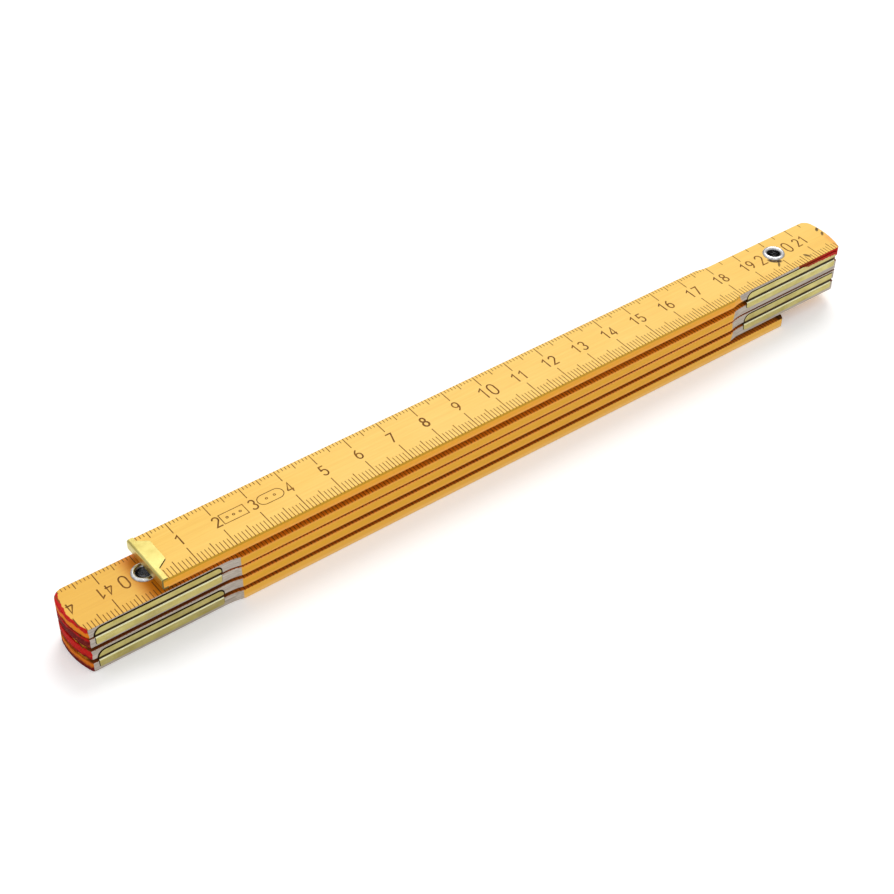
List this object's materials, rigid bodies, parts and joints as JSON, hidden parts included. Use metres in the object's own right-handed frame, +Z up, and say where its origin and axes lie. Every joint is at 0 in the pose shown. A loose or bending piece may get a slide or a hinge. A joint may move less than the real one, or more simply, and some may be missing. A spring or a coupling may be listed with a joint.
{
  "type": "folding rule",
  "caption": "Wooden folding rule of lacquered blades joined end to end by sprung, brass-plated hinges, with a brass cap on the zero end, folded into a flat stack.",
  "frame": {"origin": "centre of the folded stack's footprint, on the underside of the bottom blade", "axes": "+Z up through the stack; +X along the blades, from the zero end towards the hinge between the first two blades; +Y across the blades, away from the edge shown in front"},
  "size_m": [0.2398, 0.016, 0.0191],
  "materials": {
    "lacquered_wood": "gloss lacquer",
    "brass_plated_steel": "satin, brass plated",
    "nickel_plated_brass": "bright nickel plate",
    "spring_steel": "plain",
    "brass_sheet": "bright"
  },
  "bodies": {
    "blade_1_body": {"blade_1": "lacquered_wood", "hinge_1_upper_plate": "brass_plated_steel", "hinge_1_spring_leaf": "spring_steel", "hinge_1_rivet": "nickel_plated_brass", "hinge_1_washer": "nickel_plated_brass", "start_cap": "brass_sheet"},
    "blade_2_body": {"blade_2": "lacquered_wood", "hinge_1_lower_plate": "brass_plated_steel", "hinge_1_cam_leaf": "spring_steel", "hinge_2_upper_plate": "brass_plated_steel", "hinge_2_spring_leaf": "spring_steel", "hinge_2_rivet": "nickel_plated_brass", "hinge_2_washer": "nickel_plated_brass"},
    "blade_3_body": {"blade_3": "lacquered_wood", "hinge_2_lower_plate": "brass_plated_steel", "hinge_2_cam_leaf": "spring_steel", "hinge_3_upper_plate": "brass_plated_steel", "hinge_3_spring_leaf": "spring_steel", "hinge_3_rivet": "nickel_plated_brass", "hinge_3_washer": "nickel_plated_brass"},
    "blade_4_body": {"blade_4": "lacquered_wood", "hinge_3_lower_plate": "brass_plated_steel", "hinge_3_cam_leaf": "spring_steel", "hinge_4_upper_plate": "brass_plated_steel", "hinge_4_spring_leaf": "spring_steel", "hinge_4_rivet": "nickel_plated_brass", "hinge_4_washer": "nickel_plated_brass"},
    "blade_5_body": {"blade_5": "lacquered_wood", "hinge_4_lower_plate": "brass_plated_steel", "hinge_4_cam_leaf": "spring_steel"}
  },
  "joints": [
    {"name": "hinge_4", "type": "hinge", "parent": "blade_5_body", "child": "blade_4_body", "pos_m": [-0.09895, 0.0011, 0.0034], "axis": [0, 0, 1], "range_deg": [-180, 180]},
    {"name": "hinge_3", "type": "hinge", "parent": "blade_4_body", "child": "blade_3_body", "pos_m": [0.10105, 0.0011, 0.0073], "axis": [0, 0, 1], "range_deg": [-180, 180]},
    {"name": "hinge_2", "type": "hinge", "parent": "blade_3_body", "child": "blade_2_body", "pos_m": [-0.09895, 0.0011, 0.01085], "axis": [0, 0, 1], "range_deg": [-180, 180]},
    {"name": "hinge_1", "type": "hinge", "parent": "blade_2_body", "child": "blade_1_body", "pos_m": [0.10105, 0.0011, 0.0148], "axis": [0, 0, 1], "range_deg": [-180, 180]}
  ]
}
